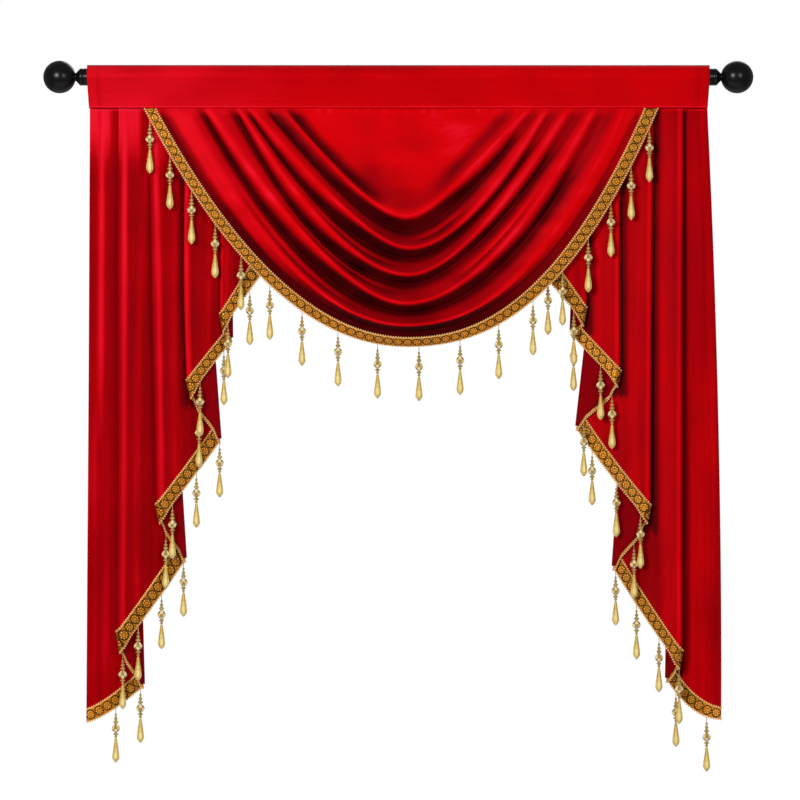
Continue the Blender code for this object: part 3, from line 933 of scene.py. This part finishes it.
def rosetteRelief(u, v):
    # height of the woven pattern at a place on the braid, u along it and v across it
    du = (u / braidLook["pitch"] % 1 - 0.5) * braidLook["pitch"] * braidLook["long"]
    dv = (v - braidLook["width"] / 2) * braidLook["high"]
    out = math.hypot(du, dv) / braidLook["radius"]
    if out > 1.0:
        return braid["rimHeight"] * smooth((out - 1.0) * 3)
    petals = braid["petalHeight"] * math.sin(braidLook["petals"] * math.atan2(dv, du)) * smooth(out * 2)
    ring = (braid["ringHeight"] + petals) * hump(out, *braid["ring"])
    return ring + braid["eyeHeight"] * hump(out, 0.0, braid["eye"])


def makeBraid(name, node, upper, lower):
    upper, lower, at = resample(np.array(upper), np.array(lower), braid["step"])
    normal = stripNormals(upper, lower)
    base = cloth["thickness"] / 2 + braid["gap"] + braid["thickness"] / 2
    across = braid["across"]

    down = lower - upper
    ahead = unit(np.gradient((upper + lower) / 2, axis=0))
    lean = (down * ahead).sum(axis=1)  # how far a cross row runs along the braid
    width = np.sqrt(np.maximum(1.0, (down * down).sum(axis=1) - lean * lean))
    fit = braidLook["width"] / np.clip(width, *braid["widths"])
    run = np.concatenate(((0.0,), np.cumsum(np.diff(at) * (fit[1:] + fit[:-1]) / 2)))

    def place(i, j):
        off = j / across - 0.5
        u, v = run[i] + off * lean[i] * fit[i], braidLook["width"] * (off + 0.5)
        height = base + braid["relief"] * rosetteRelief(u, v)
        point = blend(upper[i], lower[i], off + 0.5) + normal[i] * height
        # the braid's painted light: paler where it hangs level
        return point, rising(abs(ahead[i][0]), *braid["level"]), (u * mm, v * mm)

    bm = gridSheet(len(at), across + 1, place)
    strip = addPiece(name + "_braid", bm, [braidGold, braidBack], [node])
    thicken(strip, braid["thickness"])

    bm = bmesh.new()
    out = unit(down) * braid["beadOut"]
    for edge in (upper - out, lower + out):
        run = cumulative(edge)
        for k in range(int(run[-1] / braid["beadPitch"]) + 1):
            spot = min(k * braid["beadPitch"], run[-1])
            face = Vector(pointAt(spot, run, normal)).normalized()
            centre = Vector(pointAt(spot, run, edge)) + face * (base + braid["beadUp"])
            bmesh.ops.create_icosphere(
                bm, subdivisions=1, radius=braid["beadRadius"], matrix=Matrix.Translation(centre)
            )
    picots = addPiece(name + "_picots", bm, [picotGold])
    return strip, picots


# places along a hem: the first drop's, the pitch from it, how many there are, and how the pitch grows
Drops = namedtuple("Drops", "first pitch count grow", defaults=(0.0,))
dropRow = {
    "swag": Drops(18.2, 67.16, 18, 0.06),
    "left": Drops(62.7, 64.8, 15),
    "right": Drops(45.2, 65.6, 16),
}
Turned = namedtuple("Turned", "finish sides profile")  # the profile's points are (below, radius)
beadedDrop = {
    "threadRadius": 0.55,
    "threadSides": 6,
    "sewnUp": 4.0,
    "threadEnd": 53.0,
    "bend": 12.0,  # below this the drop hangs plumb
    "reach": 7.0,  # its half width
    "clear": 3.4,  # left between it and the cloth
    "ahead": 100.0,  # from where the cloth behind a drop is looked for
    "lookedAt": range(14, 92, 7),
    "facetGlint": 0.45,  # painted reflection: how much paler every other facet of the long drop is
    "bellyHighlight": 0.55,  # and how much paler its belly is, as a painted highlight
    "belly": (78, 16),  # centre and width, from the top
    "solids": [  # finishes: 0 is amber, 1 gold and 2 clear
        Turned(1, 8, [(10.0, 0.8), (12.0, 2.4), (14.2, 1.2)]),
        Turned(1, 6, [(14.3, 1.0), (15.0, 1.7), (15.8, 1.0)]),
        Turned(1, 8, [(15.9, 1.2), (17.6, 3.0), (19.2, 3.1), (21.0, 1.6)]),
        Turned(1, 8, [(21.2, 1.6), (23.4, 4.1), (24.8, 4.3), (27.0, 2.0)]),
        Turned(2, 8, [(27.2, 2.0), (29.8, 5.3), (32.8, 7.2), (35.6, 7.2), (38.6, 5.3), (41.2, 2.0)]),
        Turned(1, 8, [(41.4, 1.6), (43.2, 4.3), (44.4, 4.3), (46.0, 1.4)]),
        Turned(1, 8, [(46.1, 1.4), (47.6, 2.6), (48.8, 2.6), (50.4, 1.2)]),
        Turned(0, 8, [
            (50.6, 1.0), (52.4, 2.3), (58.0, 2.9), (66.0, 4.2), (74.0, 5.5),
            (81.0, 6.3), (84.2, 5.9), (88.4, 3.2), (90.8, 0.7),
        ]),
    ],
}


def spotAlong(points, distance):
    for k, (a, b) in enumerate(zip(points, points[1:])):
        length = float(np.linalg.norm(b - a))
        if distance <= length:
            return k, distance / length
        distance -= length
    return len(points) - 2, 1.0


def hungDepth(cloths, edge):
    # straight below the braid's edge, or in front of the cloth that would be in the way
    nearest = math.inf
    for surface in cloths:
        for aside in (-beadedDrop["reach"], 0.0, beadedDrop["reach"]):
            for below in beadedDrop["lookedAt"]:
                start = Vector((edge[0] + aside, -beadedDrop["ahead"], edge[2] - below)) * mm
                hit = surface.ray_cast(start, Vector((0, 1, 0)))[0]
                if hit:
                    nearest = min(nearest, hit.y / mm)
    return min(edge[1], nearest - beadedDrop["reach"] - beadedDrop["clear"])


def addDrop(bm, root, edge, hung):
    points = [root, edge]
    points += [(edge[0], hung, edge[2] - below) for below in (beadedDrop["bend"], beadedDrop["threadEnd"])]
    before = len(bm.faces)
    facet = bm.faces.layers.float["facet"]
    thread, sides = beadedDrop["threadRadius"], beadedDrop["threadSides"]
    closeLoops(bm, [ringAt(bm, point, thread, sides) for point in points])
    for face in facesSince(bm, before):
        face.material_index = 1
    for turned in beadedDrop["solids"]:
        before = len(bm.faces)
        rings = [
            ringAt(bm, (edge[0], hung, edge[2] - below), radius, turned.sides)
            for below, radius in turned.profile
        ]
        closeLoops(bm, rings)
        for face in facesSince(bm, before):
            face.material_index = turned.finish
            out = face.calc_center_median() - Vector((edge[0], hung, edge[2]))
            turn = math.atan2(out.x, -out.y) * turned.sides / (2 * math.pi)
            other = (round(turn) + (face.normal.z < -0.3)) % 2  # painted reflection: every second facet is deeper in tone
            belly = beadedDrop["bellyHighlight"] * hump(-out.z, *beadedDrop["belly"])
            face[facet] = other if turned.finish == 2 else beadedDrop["facetGlint"] * (1 - other) + belly


def makeDrops(name, node, upper, lower, drops, cloths, fromEnd):
    # fromEnd is 1 where the drops are counted from the first column and -1 from the last
    normal = stripNormals(upper, lower)
    offset = normal * (cloth["thickness"] / 2 + braid["gap"] + braid["thickness"] / 2)
    hem, up = (lower + offset)[::fromEnd], (upper - lower)[::fromEnd]
    sewn = hem + unit(up) * beadedDrop["sewnUp"]
    bm = bmesh.new()
    bm.faces.layers.float.new("facet")
    for n in range(drops.count):
        k, share = spotAlong(hem, drops.first + n * (drops.pitch + n * drops.grow))
        edge = blend(hem[k], hem[k + 1], share)
        addDrop(bm, blend(sewn[k], sewn[k + 1], share), edge, hungDepth(cloths, edge))
    bmesh.ops.recalc_face_normals(bm, faces=bm.faces)
    finishes = [amber, beadGold, clear]
    return addPiece(name + "_drops", bm, finishes, [node], smoothFaces=False)


def surfaceOf(piece):
    return BVHTree.FromObject(piece, bpy.context.evaluated_depsgraph_get())


def trimSwag(cloths):
    lines = swag["lines"]

    def edges(count):
        columns = swagColumns(count)[1:-1]
        return [np.array([swagPoint(lines[name], t) for t in columns]) for name in ("trim top", "hem")]
    strip, picots = makeBraid("swag", "swag_trim", *edges(swag["columns"]))
    upper, lower = edges(swag["dropColumns"])
    hung = makeDrops("swag", "swag_trim", upper, lower, dropRow["swag"], cloths, -1)
    return [strip, picots, hung]


def trimTail(name, folds, hand, drops, cloths):
    def edges(columns):
        upper, lower = [], []
        for column in columns:
            hem = columnValue(column, "drop")
            upper.append(tailPoint(column, hem - columnValue(column, "trim"), hand))
            lower.append(tailPoint(column, hem, hand))
        return np.array(upper), np.array(lower)
    strip, picots = makeBraid(name, name + "_trim", *edges(fineColumns(folds, hand)))
    upper, lower = edges(tailColumns(folds, *tails["dropColumns"])[::-hand])
    hung = makeDrops(name, name + "_trim", upper, lower, drops, cloths, -hand)
    return [strip, picots, hung]


# Header, rod and finials

header = {
    "cloth": 3.0,
    "topHalf": 510.0,
    "hemHalf": 507.0,
    "drop": 51.0,
    "poleGap": 0.3,
    "lipDepth": 6.3,  # where the two lips lie, in front of the rod's axis and behind it
    "lipDrop": 43.0,
    "lipRows": 9,
    "lipStep": 0.9,
    "calmRows": 5,  # at the bottom, without a ripple
    "arcs": 24,
    "columns": 240,
    "seam": 49.0,  # the sewn line along the bottom
    "pinch": 0.35,
    "pinchWidth": 2.0,
    "loose": 0.15,  # how much higher than a tight fold the top stands over the rod
    "ripple": 0.125,
    "flat": (1.02, 0.165),
}
# painted light and shade on the header: lighter towards the left, painted shade over the top of the rod, a
# painted highlight along the sewn seam, painted shade beside the turned ends, and changes of tone
headerLook = {
    "body": 0.68, "left": (0.08, 0, 420), "top": (0.28, 13.8, 1.6), "seam": 0.36, "seamWidth": 1.5,
    "turned": 0.10, "turnedPast": 3, "turnedWidth": 4.0, "cloud": 0.10, "wave": 0.04,
}


def headerSection():
    # (back, up, row) round the rod from the front lip to the back one
    reach = pole["radius"] + header["poleGap"] + header["cloth"] / 2
    slope = math.asin(reach / math.hypot(header["lipDepth"], header["lipDrop"]))
    slope -= math.atan2(header["lipDepth"], header["lipDrop"])
    start, end = math.pi + slope, -slope
    radius = reach / math.cos((start - end) / (2 * header["arcs"]))
    lip = []
    for k in range(header["lipRows"]):
        lip.append((-header["lipDepth"], -header["drop"] + k * header["lipStep"], k))
    points = list(lip)
    for k in range(header["arcs"] + 1):
        angle = blend(start, end, k / header["arcs"])
        points.append((radius * math.cos(angle), radius * math.sin(angle), header["lipRows"]))
    return points + [(-y, z, k) for y, z, k in reversed(lip)]


def headerHalf(z):
    return blend(header["topHalf"], header["hemHalf"], min(max(-z / header["drop"], 0.0), 1.0))


def makeHeader():
    section, look = headerSection(), headerLook

    def place(i, j):
        y, z, k = section[j]
        half = headerHalf(z)
        x = blend(-half, half, i / (header["columns"] - 1))
        crest = look["body"] + grown(-x, *look["left"])
        crest += look["seam"] * hump(z, -header["seam"], look["seamWidth"])
        turned = hump(half - abs(x), tails["hemAt"] + look["turnedPast"], look["turnedWidth"])
        crest -= look["turned"] * turned + grown(z, *look["top"])
        crest += look["cloud"] * softNoise(x / 80, z / 26, 2.0) + look["wave"] * math.sin(x / 210)
        ripple = header["ripple"] * softNoise(x / 60, z / 30, 7.0) * (k >= header["calmRows"])
        out = ripple - header["pinch"] * hump(z, -header["seam"], header["pinchWidth"])
        z += max(z, 0.0) * header["loose"]
        return (x, y + (-out if y < 0 else out), z), crest, (x * mm, z * mm)

    bm = gridSheet(header["columns"], len(section), place)
    piece = addPiece("header_velvet", bm, [velvet, velvetBack], ["header"])
    thicken(piece, header["cloth"])
    return piece


pole = {"radius": 14.0, "length": 1032.0, "sides": 64, "edge": 0.5}
finial = {
    "gap": 0.3,
    "edge": 0.4,
    "collar": 5.5,
    "collarEdge": [(1.0, 1.2), (0.3, 0.5)],  # (inside its radius, past its end)
    "neckRadius": 6.5,
    "neckFlare": 0.2,
    "neckReach": 12.5,
    "ballRadius": 26.8,
    "ballReach": 39.5,
    "arcs": 26,
    "steps": 56,
}


def makePole():
    bm = bmesh.new()
    bmesh.ops.create_cone(
        bm, cap_ends=True, segments=pole["sides"], depth=pole["length"],
        radius1=pole["radius"], radius2=pole["radius"],
    )
    ends = [e for e in bm.edges if abs(e.verts[0].co.z - e.verts[1].co.z) < 0.01]
    bmesh.ops.bevel(
        bm, geom=ends, offset=pole["edge"], affect="EDGES", segments=2, profile=0.5, material=-1,
    )
    bmesh.ops.rotate(bm, cent=(0, 0, 0), matrix=Matrix.Rotation(math.pi / 2, 3, "Y"), verts=bm.verts)
    return addPiece("rod_pole", bm, [rodBlack], ["rod"])


def finialProfile():
    # (radius, reach out from the pole's end), from the ball's far end to the collar
    joint = math.asin(finial["neckRadius"] / finial["ballRadius"])
    points = []
    for k in range(finial["arcs"] + 1):
        angle = blend(0.0, math.pi - joint, k / finial["arcs"])
        points.append((finial["ballRadius"] * math.sin(angle),
                       finial["ballReach"] + finial["ballRadius"] * math.cos(angle)))
    collar, radius, gap, edge = finial["collar"], pole["radius"], finial["gap"], finial["edge"]
    points.append((finial["neckRadius"] + finial["neckFlare"], finial["neckReach"]))
    points += [(radius - inside, collar + past) for inside, past in finial["collarEdge"]]
    return points + [(radius, collar - edge), (radius, gap + edge), (radius - edge, gap), (0.0, gap)]


def makeFinial(name, hand):
    bm = bmesh.new()
    start = hand * pole["length"] / 2
    verts = [bm.verts.new((start + hand * out, radius, 0)) for radius, out in finialProfile()]
    edges = [bm.edges.new(pair) for pair in zip(verts, verts[1:])]
    bmesh.ops.spin(
        bm, geom=verts + edges, cent=(0, 0, 0), axis=(1, 0, 0), dvec=(0, 0, 0),
        angle=2 * math.pi, steps=finial["steps"], use_merge=True,
    )
    bmesh.ops.remove_doubles(bm, verts=bm.verts, dist=0.001)
    bmesh.ops.recalc_face_normals(bm, faces=bm.faces)
    return addPiece(name + "_turned", bm, [rodBlack], [name])


# Stitches

stitch = {
    "pitch": 4.6,
    "length": 3.2,
    "radius": 0.32,
    "sunk": 0.4,  # share of the radius by which a stitch's middle stands over the cloth
    "below": 4.0,  # where a line starts, from the seam or the header's end
    "above": 26.0,  # where it ends, from a tail's hem
    "steps": 120,
    "across": 11,
    "headerRow": 6,  # the section's row where the header's upright lines start
}


def addStitch(bm, a, b):
    a, b = Vector(a), Vector(b)
    turn = (b - a).to_track_quat("Z", "Y").to_matrix().to_4x4()
    bmesh.ops.create_cone(
        bm, cap_ends=True, segments=6, depth=stitch["length"],
        radius1=stitch["radius"], radius2=stitch["radius"],
        matrix=Matrix.Translation((a + b) / 2) @ turn,
    )


def stitchRun(bm, points):
    run = cumulative(points)
    count = int(run[-1] / stitch["pitch"])
    for k in range(count):
        a, b = k * stitch["pitch"], k * stitch["pitch"] + stitch["length"]
        addStitch(bm, pointAt(a, run, points), pointAt(b, run, points))


def hemStitches(name, folds, hand):
    # down the tail's turned outer edge, on the side that faces the room
    outer = tailColumns(folds, 2, stitch["across"], 1)[-stitch["across"] - 1:]
    top = cloth["seamDrop"] + stitch["below"]
    bm = bmesh.new()
    points = []
    for k in range(stitch["steps"]):
        down = k / (stitch["steps"] - 1)
        line = []
        for column in outer:
            hem = columnValue(column, "drop") - stitch["above"]
            line.append(tailPoint(column, blend(top, hem, down), hand))
        run = cumulative(line)
        points.append(pointAt(run[-1] - tails["hemAt"], run, np.array(line)))
    points = np.array(points)
    points[:, 1] -= cloth["thickness"] / 2 + stitch["radius"] * stitch["sunk"]
    stitchRun(bm, points)
    return addPiece(name + "_stitches", bm, [stitchDark])


def headerStitches():
    # dark down the turned ends, and paler along the seam as a painted highlight on the raised seam
    bm = bmesh.new()
    section = headerSection()
    out = header["cloth"] / 2 + stitch["radius"] * stitch["sunk"]
    for hand in (-1, 1):
        points = [(hand * (headerHalf(z) - tails["hemAt"]), y - out, z)
                  for y, z, k in section[stitch["headerRow"]: len(section) // 2]]
        stitchRun(bm, np.array(points))
    before = len(bm.faces)
    half = header["hemHalf"] - stitch["below"]
    for side in (-1, 1):
        at = side * (header["lipDepth"] + out)
        stitchRun(bm, np.array([(-half, at, -header["seam"]), (half, at, -header["seam"])]))
    for face in facesSince(bm, before):
        face.material_index = 1
    return addPiece("header_stitches", bm, [stitchDark, seamHighlightThread])


rod = makePole()
makeFinial("left_finial", -1)
makeFinial("right_finial", 1)
print("rod and finials made")
band, bandStitches = makeHeader(), headerStitches()
print("header made")
centre = makeSwag()
leftPanel, rightPanel = makeTail("left_tail", leftTail, -1), makeTail("right_tail", rightTail, 1)
leftStitches = hemStitches("left_tail", leftTail, -1)
rightStitches = hemStitches("right_tail", rightTail, 1)
print("swag and tails made")
bpy.context.view_layer.update()
leftCloth, rightCloth = surfaceOf(leftPanel), surfaceOf(rightPanel)
swagTrim = trimSwag([leftCloth, rightCloth])
leftTrim = trimTail("left_tail", leftTail, -1, dropRow["left"], [leftCloth])
rightTrim = trimTail("right_tail", rightTail, 1, dropRow["right"], [rightCloth])
print("braid and drops made")


# Floor, lights and camera

studio = {
    "floorDrop": 1.30,
    "floorHalf": 1.35,
    "background": 1.0,
    "ambient": 0.25,
    "distance": 8.0,
    "frameWidth": 1.312,
    "sensor": 36.0,
    "centre": (0.0028, -0.5297),
}
Softbox = namedtuple("Softbox", "place size power")
softboxes = [
    Softbox((-1.5, -3.2, 0.55), 1.1, 88.0),
    Softbox((1.7, -3.4, 0.5), 1.1, 36.0),
    Softbox((0.6, 2.8, 1.4), 2.0, 22.0),
]


def makeFloor():
    bm = bmesh.new()
    bmesh.ops.create_grid(bm, x_segments=1, y_segments=1, size=studio["floorHalf"])
    bmesh.ops.translate(bm, vec=(0, 0, -studio["floorDrop"]), verts=bm.verts)
    finish = Surface("pale floor").close({"Base Color": (0.86, 0.86, 0.85, 1), "Roughness": 0.8})
    floor = addMesh("floor", bm, [finish])


def lightStudio():
    target = Vector((0, 0, studio["centre"][1]))
    for k, box in enumerate(softboxes):
        lamp = bpy.data.lights.new("softbox %d" % k, "AREA")
        lamp.shape, lamp.size, lamp.energy = "SQUARE", box.size, box.power
        holder = addObject("softbox %d" % k, lamp)
        holder.location = box.place
        holder.rotation_euler = (target - Vector(box.place)).to_track_quat("-Z", "Y").to_euler()
    world = bpy.data.worlds.new("studio")
    world.use_nodes = True
    tree = world.node_tree
    tree.nodes.clear()
    rays = tree.nodes.new("ShaderNodeLightPath")
    level = tree.nodes.new("ShaderNodeMapRange")
    level.inputs["To Min"].default_value = studio["ambient"]
    level.inputs["To Max"].default_value = studio["background"]
    sky = tree.nodes.new("ShaderNodeBackground")
    sky.inputs["Color"].default_value = (1, 1, 1, 1)
    out = tree.nodes.new("ShaderNodeOutputWorld")
    tree.links.new(rays.outputs["Is Camera Ray"], level.inputs["Value"])
    tree.links.new(level.outputs["Result"], sky.inputs["Strength"])
    tree.links.new(sky.outputs["Background"], out.inputs["Surface"])
    bpy.context.scene.world = world
    bpy.context.scene.view_settings.view_transform = "Standard"


def placeCamera():
    lens = bpy.data.cameras.new("camera")
    lens.sensor_width = studio["sensor"]
    lens.lens = studio["sensor"] * studio["distance"] / studio["frameWidth"]
    lens.clip_end = 100.0
    camera = addObject("camera", lens)
    x, z = studio["centre"]
    camera.location = (x, -studio["distance"], z)
    camera.rotation_euler = (math.pi / 2, 0, 0)
    bpy.context.scene.camera = camera


makeFloor()
lightStudio()
placeCamera()
print("studio ready")
